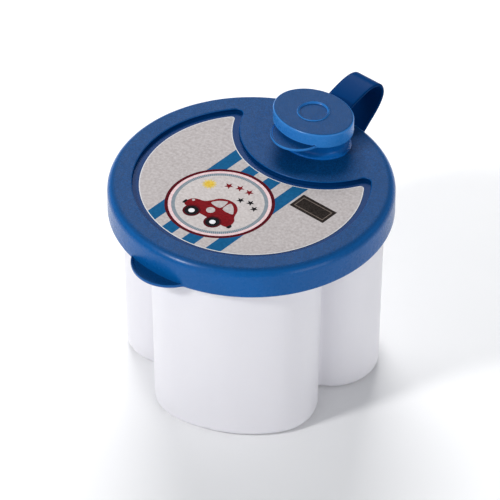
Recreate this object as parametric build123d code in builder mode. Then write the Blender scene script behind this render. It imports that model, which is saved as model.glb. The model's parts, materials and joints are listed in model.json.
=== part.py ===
"""Formula dispenser: a three-lobed cup with three powder compartments, closed by a round lid that
turns on it, so that the lid's oval spout stands over one compartment at a time. A snap cap on a
flat strap closes the spout.

Frame: the origin is on the axis of the cup, at its base. +Z is up and +Y points at the spout.
"""
import os
from math import atan2, cos, degrees, radians, sin, sqrt

from build123d import *

# ---------------------------------------------------------------- driving dimensions, millimetres
LOBE_ANGLES = (60, 180, 300)     # directions of the three lobes

# Cup
CUP_H = 81.1                     # base to the top of the deck
BASE_R = 49.3                    # axis to a lobe's outer wall, at the base
CORNER_CENTRE_R = 31.0           # axis to the centre of a lobe's rounded corner
CORNER_HALF_ANGLE = 24.6         # direction of that centre, either side of the lobe
WALL = 1.7
FLOOR_T = 1.8
OUTER_DRAFT = 0.71               # degrees that the outer walls lean out
CAVITY_DRAFT = 0.3               # degrees that the compartments widen upwards
NOTCH_FILLET_R = 2.6             # groove between two lobes, at the base
BASE_FILLET_R = 3.3
FLOOR_FILLET_R = 2.4
HUB_FILLET_R = 4.0               # inner corner of a compartment, beside the axis
DECK_R = 51.3
DECK_T = 2.0
RIM_H = 6.2                      # height of the rim wall below the deck's top
RIM_T = 1.7
BEAD_H = 1.2
RIM_BEAD_R = 51.65

# Lid
LID_R = 54.0
SKIRT_Z = 72.6                   # lower edge of the lid's skirt
LID_TOP_Z = 84.6
SKIRT_T = 2.0
PLATE_UNDER_Z = 81.4
LID_EDGE_R = 3.35                # rounding of the lid's upper edge
SKIRT_BEAD_R = 51.8              # inner ridge of the skirt, under the cup's bead
RECESS_R = 44.8
RECESS_DEPTH = 1.65
PLATEAU_Y = 42.6                 # centre of the arc that bounds the raised part around the spout
PLATEAU_R = 32.7
HORN_R = 2.8                     # rounding of the crescent's two horns
RECESS_EDGE_R = 0.35
TAB_Y = -45.2                    # centre of the lifting tab's arc
TAB_R = 14.7
TAB_T = 1.3
TAB_LIP = 1.0                    # width of the raised lip round the tab
TAB_DISH = 0.45

# Label in the lid's recess
LABEL_GAP = 2.7
LABEL_T = 0.2

# Seal ring between the cup's deck and the lid
SEAL_INNER_R = 49.1
SEAL_OUTER_R = 51.0
SEAL_Z = 81.15
SEAL_H = 1.15
SEAL_PLAY = 0.15

# Spout: ovals, given as half-length along X and half-width along Y
SPOUT_Y = 35.3
NECK = (13.6, 10.1)
BORE = (12.0, 8.5)
SPOUT_TOP_Z = 95.2
SNAP_RIM = (14.5, 11.0)
SNAP_RIM_H = 2.4
NECK_FLARE_R = 1.7

# Cap
CAP = (16.7, 13.2)
CAP_TOP_Z = 97.0
BAND_H = 6.0
CAP_TOP_T = 1.6
BAND_T = 1.4
CAP_EDGE_R = 0.9
PLUG = (11.5, 8.0)
PLUG_TIP = (11.1, 7.6)
PLUG_WALL = 1.3
PLUG_DEPTH = 2.6
RING_OUTER_R = 6.2
RING_W = 0.7
RING_H = 0.5
RING_DISH = 0.4
THUMB_Y = 26.5                   # centre of the thumb tab's arc
THUMB_R = 10.5
THUMB_T = 1.2
THUMB_LIP = 0.8
THUMB_DISH = 0.4

# Strap: a flat strip in the YZ plane, cut into links that hinge where it bends
STRAP_W = 12.0
STRAP_T = 1.2
STRAP_START = (54.0, 73.45)      # y, z where it leaves the skirt
STRAP_START_ANGLE = 41.0
ROOT_STUB = 3.2
CAP_STUB = 2.7
STRAP_LINKS = ((8.1, -1.3), (6.8, 7.5), (4.8, 40.5), (4.6, 50.5), (4.2, 38.0), (5.7, 14.6), (7.4, 10.2))
HINGE_GAP = 0.3                  # from a hinge's line to the end of each link beside it
STUB_SINK = 0.8                  # how far each stub runs into the wall that carries it


# ---------------------------------------------------------------- helpers
def polar(radius, angle):
    """Point at a radius and an angle in degrees about the axis."""
    return radius * cos(radians(angle)), radius * sin(radians(angle))


def toward(point, distance, angle):
    """Point at a distance from another one, in the direction of an angle in degrees."""
    dx, dy = polar(distance, angle)
    return point[0] + dx, point[1] + dy


def strap_point(distance):
    """Point (y, z) of the strap's centreline at a distance along it from the skirt's face."""
    point, heading = STRAP_START, STRAP_START_ANGLE
    if distance < 0:
        return toward(point, distance, heading)
    for length, turn in ((ROOT_STUB, 0.0), *STRAP_LINKS, (CAP_STUB + STUB_SINK, 0.0)):
        step = min(length, distance)
        bend = turn * step / length
        half = radians(bend / 2)
        chord = step * sin(half) / half if half else step
        point = toward(point, chord, heading + bend / 2)
        heading += bend
        distance -= step
    return point


def strap_strip(start, end, straight=False):
    """Solid length of the strap between two distances along it, added to the active part."""
    with BuildSketch(Plane.YZ) as strip:
        with BuildLine() as run:
            if straight:
                Line(strap_point(start), strap_point(end))
            else:
                ThreePointArc(strap_point(start), strap_point((start + end) / 2), strap_point(end))
        trace(run.line, line_width=STRAP_T)
    return extrude(strip.sketch, amount=STRAP_W / 2, both=True)


def lobe_half_profile(outer_r, corner_r):
    """Half outline of one solid lobe pointing along +X, from the axis round to its tip."""
    corner = polar(CORNER_CENTRE_R, CORNER_HALF_ANGLE)
    beside = radians(60 - CORNER_HALF_ANGLE)
    across = CORNER_CENTRE_R * sin(beside)
    notch = polar(CORNER_CENTRE_R * cos(beside) + sqrt(corner_r**2 - across**2), 60)
    notch_side = degrees(atan2(notch[1] - corner[1], notch[0] - corner[0]))
    Line((0, 0), notch)
    ThreePointArc(notch, toward(corner, corner_r, (notch_side + CORNER_HALF_ANGLE) / 2),
                  polar(outer_r, CORNER_HALF_ANGLE))
    ThreePointArc(polar(outer_r, CORNER_HALF_ANGLE), polar(outer_r, CORNER_HALF_ANGLE / 2),
                  (outer_r, 0))


def compartment_half_profile(outer_r, corner_r):
    """Half outline of one compartment pointing along +X. Its side is tangent to its corner."""
    corner = polar(CORNER_CENTRE_R, CORNER_HALF_ANGLE)
    across = CORNER_CENTRE_R * sin(radians(60 - CORNER_HALF_ANGLE))
    hub = ((across - corner_r) / sin(radians(60)), 0)
    side_end = toward(corner, corner_r, 150)
    Line(hub, side_end)
    ThreePointArc(side_end, toward(corner, corner_r, (150 + CORNER_HALF_ANGLE) / 2),
                  polar(outer_r, CORNER_HALF_ANGLE))
    ThreePointArc(polar(outer_r, CORNER_HALF_ANGLE), polar(outer_r, CORNER_HALF_ANGLE / 2),
                  (outer_r, 0))


def crescent(outer_r, plateau_r, horn_r):
    """Face of the crescent around the plateau, its horns rounded, in the active sketch."""
    Circle(outer_r)
    with Locations((0, PLATEAU_Y)):
        Circle(plateau_r, mode=Mode.SUBTRACT)
    return fillet(vertices(), horn_r)


CORNER_R = BASE_R - CORNER_CENTRE_R
CAVITY_R = BASE_R - WALL
CAVITY_CORNER_R = CORNER_R - WALL

# ---------------------------------------------------------------- powder compartments
with BuildPart() as powder_spaces:
    for angle in LOBE_ANGLES:
        with BuildSketch(Plane.XY.offset(FLOOR_T).rotated((0, 0, angle))):
            with BuildLine() as half:
                compartment_half_profile(CAVITY_R, CAVITY_CORNER_R)
                mirror(half.line, about=Plane.XZ)
            make_face()
            fillet(vertices().sort_by(Axis.X)[0], HUB_FILLET_R)
        extrude(amount=CUP_H - FLOOR_T + 1, taper=-CAVITY_DRAFT)
    fillet(powder_spaces.edges().group_by(Axis.Z)[0], FLOOR_FILLET_R)

# ---------------------------------------------------------------- cup
with BuildPart() as container:
    for angle in LOBE_ANGLES:
        with BuildSketch(Plane.XY.rotated((0, 0, angle))):
            with BuildLine() as half:
                lobe_half_profile(BASE_R, CORNER_R)
                mirror(half.line, about=Plane.XZ)
            make_face()
        extrude(amount=CUP_H - DECK_T / 2, taper=-OUTER_DRAFT)
    notches = container.edges().filter_by(
        lambda edge: 28 < Vector(edge.center().X, edge.center().Y, 0).length < 34
        and edge.bounding_box().size.Z > CUP_H / 2)
    fillet(notches, NOTCH_FILLET_R)
    fillet(container.faces().sort_by(Axis.Z)[0].edges(), BASE_FILLET_R)
    with BuildSketch(Plane.XY.offset(CUP_H - DECK_T)):
        Circle(DECK_R)
    extrude(amount=DECK_T)
    with BuildSketch(Plane.XY.offset(CUP_H - RIM_H)):
        Circle(DECK_R)
        Circle(DECK_R - RIM_T, mode=Mode.SUBTRACT)
    extrude(amount=RIM_H)
    with BuildSketch(Plane.XY.offset(CUP_H - RIM_H + BEAD_H)):
        Circle(RIM_BEAD_R)
        Circle(DECK_R - RIM_T, mode=Mode.SUBTRACT)
    extrude(amount=BEAD_H)
    add(powder_spaces.part, mode=Mode.SUBTRACT)
container.part.label = "container"

# ---------------------------------------------------------------- seal between cup and lid
with BuildPart() as rim_seal:
    with BuildSketch(Plane.XY.offset(SEAL_Z)):
        Circle(SEAL_OUTER_R)
        Circle(SEAL_INNER_R, mode=Mode.SUBTRACT)
    extrude(amount=SEAL_H)
rim_seal.part.label = "rim_seal"

# ---------------------------------------------------------------- lid
RECESS_Z = LID_TOP_Z - RECESS_DEPTH
BORE_H = SPOUT_TOP_Z - PLATE_UNDER_Z

with BuildPart() as lid:
    with BuildSketch(Plane.XY.offset(SKIRT_Z)):
        Circle(LID_R)
    extrude(amount=LID_TOP_Z - SKIRT_Z)
    fillet(lid.faces().sort_by(Axis.Z)[-1].edges(), LID_EDGE_R)
    with BuildSketch(Plane.XY.offset(SKIRT_Z)):
        Circle(LID_R - SKIRT_T)
    extrude(amount=PLATE_UNDER_Z - SKIRT_Z, mode=Mode.SUBTRACT)
    with BuildSketch(Plane.XY.offset(SKIRT_Z)):
        Circle(LID_R - SKIRT_T)
        Circle(SKIRT_BEAD_R, mode=Mode.SUBTRACT)
    extrude(amount=BEAD_H)
    with BuildSketch(Plane.XY.offset(PLATE_UNDER_Z)):
        Circle(SEAL_OUTER_R + SEAL_PLAY)
        Circle(SEAL_INNER_R - SEAL_PLAY, mode=Mode.SUBTRACT)
    extrude(amount=SEAL_Z + SEAL_H + SEAL_PLAY - PLATE_UNDER_Z, mode=Mode.SUBTRACT)
    # crescent recess for the label
    with BuildSketch(Plane.XY.offset(RECESS_Z)):
        crescent(RECESS_R, PLATEAU_R, HORN_R)
    extrude(amount=RECESS_DEPTH, mode=Mode.SUBTRACT)
    fillet(lid.edges().filter_by(Plane.XY).group_by(Axis.Z)[-1].filter_by(
        lambda edge: edge.bounding_box().max.Y < LID_R - LID_EDGE_R - 1), RECESS_EDGE_R)
    # spout
    with BuildSketch(Plane.XY.offset(LID_TOP_Z)):
        with Locations((0, SPOUT_Y)):
            Ellipse(*NECK)
    extrude(amount=SPOUT_TOP_Z - LID_TOP_Z)
    foot = lid.edges().filter_by(Plane.XY).filter_by(
        lambda edge: abs(edge.center().Z - LID_TOP_Z) < 0.01 and abs(edge.center().Y - SPOUT_Y) < 1)
    fillet(foot, NECK_FLARE_R)
    with BuildSketch(Plane.XY.offset(SPOUT_TOP_Z - SNAP_RIM_H)):
        with Locations((0, SPOUT_Y)):
            Ellipse(*SNAP_RIM)
    extrude(amount=SNAP_RIM_H)
    with BuildSketch(Plane.XY.offset(PLATE_UNDER_Z)):
        with Locations((0, SPOUT_Y)):
            Ellipse(*BORE)
    extrude(amount=BORE_H, mode=Mode.SUBTRACT)
    # lifting tab, dished inside a thin lip, opposite the spout
    with BuildSketch(Plane.XY.offset(SKIRT_Z)):
        with Locations((0, TAB_Y)):
            Circle(TAB_R)
        Circle(LID_R - SKIRT_T / 2, mode=Mode.SUBTRACT)
    extrude(amount=TAB_T)
    with BuildSketch(Plane.XY.offset(SKIRT_Z + TAB_T - TAB_DISH)):
        with Locations((0, TAB_Y)):
            Circle(TAB_R - TAB_LIP)
        Circle(LID_R, mode=Mode.SUBTRACT)
    extrude(amount=TAB_DISH, mode=Mode.SUBTRACT)
    # root of the strap
    strap_strip(-STUB_SINK, ROOT_STUB - HINGE_GAP, straight=True)
lid.part.label = "lid"

# ---------------------------------------------------------------- printed label in the recess
with BuildPart() as lid_label:
    with BuildSketch(Plane.XY.offset(RECESS_Z)):
        crescent(RECESS_R - LABEL_GAP, PLATEAU_R + LABEL_GAP, HORN_R / 2)
    extrude(amount=LABEL_T)
lid_label.part.label = "lid_label"

# ---------------------------------------------------------------- cap
CAP_INSIDE = (CAP[0] - BAND_T, CAP[1] - BAND_T)
CAP_UNDER_Z = CAP_TOP_Z - CAP_TOP_T
BAND_Z = CAP_TOP_Z - BAND_H

with BuildPart() as cap:
    with BuildSketch(Plane.XY.offset(BAND_Z)):
        with Locations((0, SPOUT_Y)):
            Ellipse(*CAP)
    extrude(amount=BAND_H)
    fillet(cap.faces().sort_by(Axis.Z)[-1].edges(), CAP_EDGE_R)
    # thumb tab toward the middle of the lid, dished inside a thin lip
    with BuildSketch(Plane.XY.offset(BAND_Z)):
        with Locations((0, THUMB_Y)):
            Circle(THUMB_R)
    extrude(amount=THUMB_T)
    with BuildSketch(Plane.XY.offset(BAND_Z + THUMB_T - THUMB_DISH)):
        with Locations((0, THUMB_Y)):
            Circle(THUMB_R - THUMB_LIP)
        with Locations((0, SPOUT_Y)):
            Ellipse(*CAP, mode=Mode.SUBTRACT)
    extrude(amount=THUMB_DISH, mode=Mode.SUBTRACT)
    with BuildSketch(Plane.XY.offset(BAND_Z)):
        with Locations((0, SPOUT_Y)):
            Ellipse(*CAP_INSIDE)
    extrude(amount=BAND_H - CAP_TOP_T, mode=Mode.SUBTRACT)
    # plug that fills the spout's bore
    with BuildSketch(Plane.XY.offset(CAP_UNDER_Z)):
        with Locations((0, SPOUT_Y)):
            Ellipse(*PLUG)
    with BuildSketch(Plane.XY.offset(CAP_UNDER_Z - PLUG_DEPTH)):
        with Locations((0, SPOUT_Y)):
            Ellipse(*PLUG_TIP)
    loft()
    with BuildSketch(Plane.XY.offset(CAP_UNDER_Z - PLUG_DEPTH)):
        with Locations((0, SPOUT_Y)):
            Ellipse(PLUG_TIP[0] - PLUG_WALL, PLUG_TIP[1] - PLUG_WALL)
    extrude(amount=PLUG_DEPTH, mode=Mode.SUBTRACT)
    # raised ring on top, with a shallow dish inside it
    with BuildSketch(Plane.XY.offset(CAP_TOP_Z)):
        with Locations((0, SPOUT_Y)):
            Circle(RING_OUTER_R)
            Circle(RING_OUTER_R - RING_W, mode=Mode.SUBTRACT)
    extrude(amount=RING_H)
    with BuildSketch(Plane.XY.offset(CAP_TOP_Z - RING_DISH)):
        with Locations((0, SPOUT_Y)):
            Circle(RING_OUTER_R - RING_W)
    extrude(amount=RING_DISH, mode=Mode.SUBTRACT)
    # end of the strap
    strap_end = ROOT_STUB + sum(length for length, turn in STRAP_LINKS)
    strap_strip(strap_end + HINGE_GAP, strap_end + CAP_STUB + STUB_SINK, straight=True)
cap.part.label = "cap"

# ---------------------------------------------------------------- strap links
strap_links = []
link_start = ROOT_STUB
for number, (link_length, turn) in enumerate(STRAP_LINKS, start=1):
    with BuildPart() as strap_link:
        strap_strip(link_start + HINGE_GAP, link_start + link_length - HINGE_GAP)
    strap_link.part.label = f"strap_link_{number}"
    strap_links.append(strap_link)
    print("hinge before", strap_link.part.label, strap_point(link_start))
    link_start += link_length
print("hinge before cap", strap_point(link_start), "end", strap_point(link_start + CAP_STUB))

# ---------------------------------------------------------------- files
os.makedirs("parts", exist_ok=True)
for piece in (container, rim_seal, lid, lid_label, cap, *strap_links):
    export_step(piece.part, f"parts/{piece.part.label}.step")
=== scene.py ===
"""Looks of the formula dispenser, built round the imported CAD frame.

Shapes are worked out in millimetres and written to the meshes in metres. The frame is the CAD's:
origin on the cup's axis at its base, +Z up, +Y toward the spout and the strap.
"""
import json
from math import acos, atan2, cos, degrees, pi, radians, sin, sqrt

import bmesh
import bpy
import numpy as np
from mathutils import Matrix, Vector
from mathutils.geometry import delaunay_2d_cdt


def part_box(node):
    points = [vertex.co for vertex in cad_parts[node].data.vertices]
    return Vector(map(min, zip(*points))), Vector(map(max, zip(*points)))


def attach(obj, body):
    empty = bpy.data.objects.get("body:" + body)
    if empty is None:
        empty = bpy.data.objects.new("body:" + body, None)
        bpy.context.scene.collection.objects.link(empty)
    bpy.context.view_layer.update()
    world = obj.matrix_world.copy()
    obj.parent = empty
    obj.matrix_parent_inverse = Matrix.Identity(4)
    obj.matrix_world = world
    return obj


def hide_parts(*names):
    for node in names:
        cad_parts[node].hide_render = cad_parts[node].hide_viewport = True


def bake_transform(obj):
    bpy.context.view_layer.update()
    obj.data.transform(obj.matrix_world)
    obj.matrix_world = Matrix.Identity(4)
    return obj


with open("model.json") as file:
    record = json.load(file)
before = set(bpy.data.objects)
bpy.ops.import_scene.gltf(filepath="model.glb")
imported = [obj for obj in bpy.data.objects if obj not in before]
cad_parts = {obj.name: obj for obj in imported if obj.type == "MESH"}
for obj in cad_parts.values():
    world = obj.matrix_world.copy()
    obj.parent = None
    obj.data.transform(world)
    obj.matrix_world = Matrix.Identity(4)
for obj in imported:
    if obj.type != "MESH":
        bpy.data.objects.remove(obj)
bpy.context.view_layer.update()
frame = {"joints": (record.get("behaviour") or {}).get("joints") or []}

MM = 0.001


def node_box(node):
    """Lowest and highest corner of a CAD node, in millimetres."""
    low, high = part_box(node)
    return low / MM, high / MM


# ---------------------------------------------------------------- sizes, millimetres
CUP_HIGH = node_box("container")[1]
LID_HIGH = node_box("lid")[1]
CAP_HIGH = node_box("cap")[1]
LABEL_LOW, LABEL_HIGH = node_box("lid_label")
SEAL_LOW, SEAL_HIGH = node_box("rim_seal")

# Cup: three lobes, each an outer arc between two rounded corners
LOBE_ANGLES = (60, 180, 300)
CUP_H = CUP_HIGH.z
BASE_R = 49.3
CORNER_CENTRE_R = 31.0
CORNER_HALF = 24.6               # degrees from a lobe's middle to the centre of its corner
CORNER_R = BASE_R - CORNER_CENTRE_R
NOTCH_R = 2.6
WALL = 1.7
FLOOR_Z = 1.8
BASE_EDGE_R = 3.3
FLOOR_EDGE_R = 2.4
HUB_R = 4.0
OUTER_DRAFT = radians(0.71)
CAVITY_DRAFT = radians(0.3)
DECK_R = 51.3
DECK_UNDER_Z = CUP_H - 2.0
RIM_BOTTOM_Z = CUP_H - 6.2
RIM_INNER_R = 49.6
RIM_BEAD_R = CUP_HIGH.x
RIM_BEAD_Z = RIM_BOTTOM_Z + 1.8
RIM_BEAD_HALF = 0.6
MOUTH_EDGE_R = 0.3
SEAL_INNER_R = 49.1

# Lid
LID_R = LID_HIGH.x
SKIRT_Z = 72.6
LID_TOP_Z = 84.6
LID_EDGE_R = 3.35
SKIRT_INNER_R = 52.0
SKIRT_BEAD_R = 51.8
SKIRT_BEAD_Z = SKIRT_Z + 1.0
SKIRT_BEAD_HALF = 0.5
SKIRT_ROOT_R = 0.5
PLATE_UNDER_Z = 81.4
GROOVE_R = (48.95, 51.15)
GROOVE_TOP_Z = 82.45
RECESS_R = 44.8
RECESS_Z = LABEL_LOW.z
RECESS_EDGE_R = 0.35
RECESS_FOOT_R = 0.3
PLATEAU_Y = 42.6
PLATEAU_R = 32.7
HORN_R = 2.8
TAB = {"centre": (0.0, -45.2), "radius": 14.7, "thick": 1.3, "lip": 1.0, "dish": 0.45}
LABEL_R = LABEL_HIGH.x
LABEL_GAP = RECESS_R - LABEL_R
LABEL_TOP_Z = LABEL_HIGH.z
# width of the strip along the label's top edge that carries the painted highlight
LABEL_EDGE_STRIP = 0.35

# Spout and cap: ovals, half-length along X and half-width along Y
SPOUT_Y = 35.3
NECK = (13.6, 10.1)
BORE_INSET = 1.6
SNAP_RIM_OUT = 0.9
SNAP_RIM_H = 2.4
SPOUT_TOP_Z = LID_HIGH.z
FOOT_R = 1.7
FOOT_STEP = 0.3
BORE_EDGE_R = 0.3
CAP = (16.7, 13.2)
CAP_TOP_Z = CAP_HIGH.z - 0.5
BAND_Z = 91.0
CAP_UNDER_Z = CAP_TOP_Z - 1.6
CAP_EDGE_R = 0.75
BAND_T = 1.4
PLUG_INSET = (5.2, 5.6)          # at its root and at its tip
PLUG_WALL = 1.3
PLUG_H = 2.6
RING_R = (5.5, 6.2)
RING_DISH = 0.4
THUMB = {"centre": (0.0, 26.5), "radius": 10.5, "thick": 1.2, "lip": 0.8, "dish": 0.4}

# Strap, along the YZ plane
STRAP_W = 12.0
STRAP_T = 1.2
STRAP_EDGE_R = 0.42
STRAP_FLAT = 0.4                 # width of the narrow strip beside each rounded edge
STRAP_RINGS = 44                 # rings in a length of strap
STRAP_SEAM = 0.008               # in links, from a length's end to its next ring
STRAP_ROOT = (54.0, 73.45)
STRAP_ROOT_ANGLE = 41.0
STRAP_TIP = (48.48, 92.17)
STRAP_TIP_ANGLE = 201.0
STRAP_SINK = 0.8
STRAP_FLARE = (0.75, 0.35)       # extra thickness where it leaves the skirt and meets the cap
STRAP_FLARE_LENGTH = 0.45        # in links

SAME_POINT = 1e-4                # points nearer than this are one
FLAT_RING = 0.45                 # width of the narrow ring that edges every flat face
BREAK = 0.25                     # edge break of thin walls and tabs
CORNER_CUT = 0.29                # inset of a quarter circle's middle, as a share of its radius


# ---------------------------------------------------------------- outlines
class Outline:
    """Closed outline, anticlockwise, as points with outward normals, so that it can be offset."""

    def __init__(self, points, normals):
        self.points = np.array(points, float)
        self.normals = np.array(normals, float)

    def ring(self, offset, z):
        flat = self.points + offset * self.normals
        return [(x, y, z) for x, y in flat]


def from_arcs(arcs):
    """Outline made of arcs (centre, radius, start, end, steps) in degrees. One that runs backwards is
    concave. An arc's last point is left out where the next arc starts on it."""
    points, normals = [], []
    for (cx, cy), radius, start, end, steps in arcs:
        facing = 1 if end > start else -1
        for k in range(steps + 1):
            a = radians(start + (end - start) * k / steps)
            point = (cx + radius * cos(a), cy + radius * sin(a))
            if points and np.hypot(point[0] - points[-1][0], point[1] - points[-1][1]) < SAME_POINT:
                continue
            points.append(point)
            normals.append((facing * cos(a), facing * sin(a)))
    if np.hypot(*(np.array(points[0]) - points[-1])) < SAME_POINT:
        points.pop()
        normals.pop()
    return Outline(points, normals)


def polar(radius, angle, centre=(0.0, 0.0)):
    return centre[0] + radius * cos(radians(angle)), centre[1] + radius * sin(radians(angle))


def stations(step, fine, centre, half):
    """Angles round a circle, closer together within half of centre."""
    near = np.arange(centre - half, centre + half + fine / 2, fine)
    far_count = int((360 - 2 * half) / step)
    far = centre + half + (360 - 2 * half) * np.arange(1, far_count) / far_count
    return np.concatenate([near, far])


def oval(centre_y, half_size, angles):
    """Ellipse about (0, centre_y), with its exact normals."""
    a, b = half_size
    t = np.radians(angles)
    points = np.stack([a * np.cos(t), centre_y + b * np.sin(t)], 1)
    normals = np.stack([np.cos(t) / a, np.sin(t) / b], 1)
    return Outline(points, normals / np.linalg.norm(normals, axis=1)[:, None])


def circle(radius, angles, centre=(0.0, 0.0)):
    t = np.radians(angles)
    normals = np.stack([np.cos(t), np.sin(t)], 1)
    return Outline(np.array(centre) + radius * normals, normals)


def crescent(outer_r, plateau_r, horn_r):
    """Crescent between the outer circle and the plateau round the spout, with rounded horns."""
    to_axis, to_plateau = outer_r - horn_r, plateau_r + horn_r
    y = (to_axis**2 - to_plateau**2 + PLATEAU_Y**2) / (2 * PLATEAU_Y)
    x = sqrt(to_axis**2 - y**2)
    outer = degrees(atan2(y, x))
    inner = degrees(atan2(PLATEAU_Y - y, -x))
    return from_arcs([
        ((0, 0), outer_r, -180 - outer, outer, 170),
        ((x, y), horn_r, outer, inner, 16),
        ((0, PLATEAU_Y), plateau_r, inner - 180, -inner, 70),
        ((-x, y), horn_r, 180 - inner, 180 - outer, 16)])


def cup_outline():
    """Three lobes, with the groove between two of them rounded, and a break in each corner where the
    rim's inner wall crosses it."""
    beside = radians(60 - CORNER_HALF)
    reach = CORNER_R + NOTCH_R
    groove = CORNER_CENTRE_R * cos(beside) + sqrt(reach**2 - (CORNER_CENTRE_R * sin(beside))**2)
    corner = np.array(polar(CORNER_CENTRE_R, CORNER_HALF))
    to_groove = np.array(polar(groove, 60)) - corner
    turn = degrees(atan2(to_groove[1], to_groove[0]))
    rim_corner_r = CORNER_R + draft_at(RIM_BOTTOM_Z)
    crossing = CORNER_HALF + degrees(acos(
        (RIM_INNER_R**2 - CORNER_CENTRE_R**2 - rim_corner_r**2) / (2 * CORNER_CENTRE_R * rim_corner_r)))
    arcs = []
    for lobe in LOBE_ANGLES:
        before = polar(CORNER_CENTRE_R, lobe - CORNER_HALF)
        after = polar(CORNER_CENTRE_R, lobe + CORNER_HALF)
        arcs += [
            (before, CORNER_R, lobe - turn, lobe - crossing, 30),
            (before, CORNER_R, lobe - crossing, lobe - CORNER_HALF, 8),
            ((0, 0), BASE_R, lobe - CORNER_HALF, lobe + CORNER_HALF, 30),
            (after, CORNER_R, lobe + CORNER_HALF, lobe + crossing, 8),
            (after, CORNER_R, lobe + crossing, lobe + turn, 30),
            (polar(groove, lobe + 60), NOTCH_R, lobe + turn + 180, lobe + 300 - turn, 12)]
    return from_arcs(arcs)


def compartment_outline(lobe):
    """One compartment: a rounded sector whose straight sides are tangent to its corners."""
    corner_r = CORNER_R - WALL
    across = CORNER_CENTRE_R * sin(radians(60 - CORNER_HALF))
    hub = (across - corner_r + HUB_R) / sin(radians(60))
    before = polar(CORNER_CENTRE_R, lobe - CORNER_HALF)
    after = polar(CORNER_CENTRE_R, lobe + CORNER_HALF)
    return from_arcs([
        ((0, 0), BASE_R - WALL, lobe - CORNER_HALF, lobe + CORNER_HALF, 30),
        (after, corner_r, lobe + CORNER_HALF, lobe + 150, 36),
        (polar(hub, lobe), HUB_R, lobe + 150, lobe + 210, 12),
        (before, corner_r, lobe + 210, lobe + 360 - CORNER_HALF, 36)])


def draft_at(z):
    """How far the cup's outer wall leans out at a height."""
    return z * sin(OUTER_DRAFT) / cos(OUTER_DRAFT)


def rounding(offset, z, radius, start, end, steps=6):
    """Profile points (offset, z) on an arc about (offset, z). 0 degrees is outward and 90 is up."""
    turns = [radians(start + (end - start) * k / steps) for k in range(steps + 1)]
    return [(offset + radius * cos(a), z + radius * sin(a)) for a in turns]


def lower_edge(offset, z):
    """Profile points down a wall's inner side and round its edge, to where ear_base starts."""
    cut = CORNER_CUT * BREAK
    return [(offset, z + BREAK), (offset + cut, z + cut), (offset + BREAK, z)]


# ---------------------------------------------------------------- meshes
class Shell:
    """One surface in millimetres. Rings run anticlockwise, and a sweep's outside is on the right of
    its direction of travel: outward along a base, up an outer wall, inward over a top."""

    def __init__(self):
        self.verts, self.faces, self.slots = [], [], []

    def ring(self, points):
        first = len(self.verts)
        self.verts.extend(points)
        return list(range(first, len(self.verts)))

    def rings(self, outline, profile):
        return [self.ring(outline.ring(offset, z)) for offset, z in profile]

    def sweep(self, rings, slot=0):
        for a, b in zip(rings, rings[1:]):
            for i in range(len(a)):
                j = (i + 1) % len(a)
                self.faces.append((a[i], a[j], b[j], b[i]))
                self.slots.append(slot)

    def fill(self, loops, up=True, spacing=3.0, slot=0, extra=(), classify=None):
        """Flat face bounded by a ring and its holes, in triangles about spacing wide. extra holds
        closed lines that it must follow, and classify gives the slots of triangles by their centres."""
        flat = np.array([self.verts[i][:2] for loop in loops for i in loop])
        z = self.verts[loops[0][0]][2]
        known = [i for loop in loops for i in loop]
        edges, start = [], 0
        for loop in loops:
            n = len(loop)
            edges += [(start + k, start + (k + 1) % n) for k in range(n)]
            start += n
        walls = [flat[a] for a, b in edges], [flat[b] for a, b in edges]
        points = [tuple(p) for p in flat]
        drawn = list(flat)
        for line in extra:
            edges += [(start + k, start + (k + 1) % len(line)) for k in range(len(line))]
            points += [tuple(p) for p in line]
            drawn += [np.array(p) for p in line]
            start += len(line)
        if spacing:
            low, high = flat.min(0), flat.max(0)
            grid = [(x + (row % 2) * spacing / 2, y)
                    for row, y in enumerate(np.arange(low[1], high[1], spacing * 0.866))
                    for x in np.arange(low[0], high[0], spacing)]
            grid = np.array(grid)
            grid = grid[inside(grid, *walls)]
            near = nearest(grid, np.array(drawn))
            points += [tuple(p) for p in grid[near > 0.6 * spacing]]
        out = delaunay_2d_cdt([Vector(p) for p in points], edges, [], 0, 1e-5)
        made, triangles, origins = out[0], out[2], out[3]
        index = []
        for point, origin in zip(made, origins):
            old = [k for k in origin if k < len(known)]
            if old:
                index.append(known[old[0]])
            else:
                index.append(len(self.verts))
                self.verts.append((point[0], point[1], z))
        flat_made = np.array([p[:] for p in made])
        centres = flat_made[np.array(triangles)].mean(axis=1)
        slots = classify(centres) if classify else [slot] * len(triangles)
        for t, keep, own_slot in zip(triangles, inside(centres, *walls), slots):
            corners = [index[k] for k in t]
            if keep and len(set(corners)) == 3:
                self.faces.append(tuple(corners if up else corners[::-1]))
                self.slots.append(own_slot)

    def piece(self, name, materials, sharp=38.0, weighted=True):
        mesh = bpy.data.meshes.new(name)
        mesh.from_pydata([tuple(MM * c for c in v) for v in self.verts], [], self.faces)
        mesh.polygons.foreach_set("material_index", self.slots)
        mesh.polygons.foreach_set("use_smooth", [True] * len(mesh.polygons))
        for material in materials:
            mesh.materials.append(material)
        shaped = bmesh.new()
        shaped.from_mesh(mesh)
        bmesh.ops.delete(shaped, geom=[v for v in shaped.verts if not v.link_faces], context="VERTS")
        for edge in shaped.edges:
            if len(edge.link_faces) == 2:
                edge.smooth = edge.calc_face_angle(0.0) < radians(sharp)
        shaped.to_mesh(mesh)
        shaped.free()
        obj = bpy.data.objects.new(name, mesh)
        bpy.context.scene.collection.objects.link(obj)
        if weighted:
            normals = obj.modifiers.new("weighted_normals", "WEIGHTED_NORMAL")
            normals.keep_sharp = True
        return obj


def inside(points, starts, ends):
    """Which points lie inside closed lines given as edges, holes taken out."""
    x, y = points[:, 0], points[:, 1]
    odd = np.zeros(len(points), bool)
    for (x0, y0), (x1, y1) in zip(starts, ends):
        spans = (y0 > y) != (y1 > y)
        if y0 != y1:
            odd ^= spans & (x < (x1 - x0) * (y - y0) / (y1 - y0) + x0)
    return odd


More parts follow.
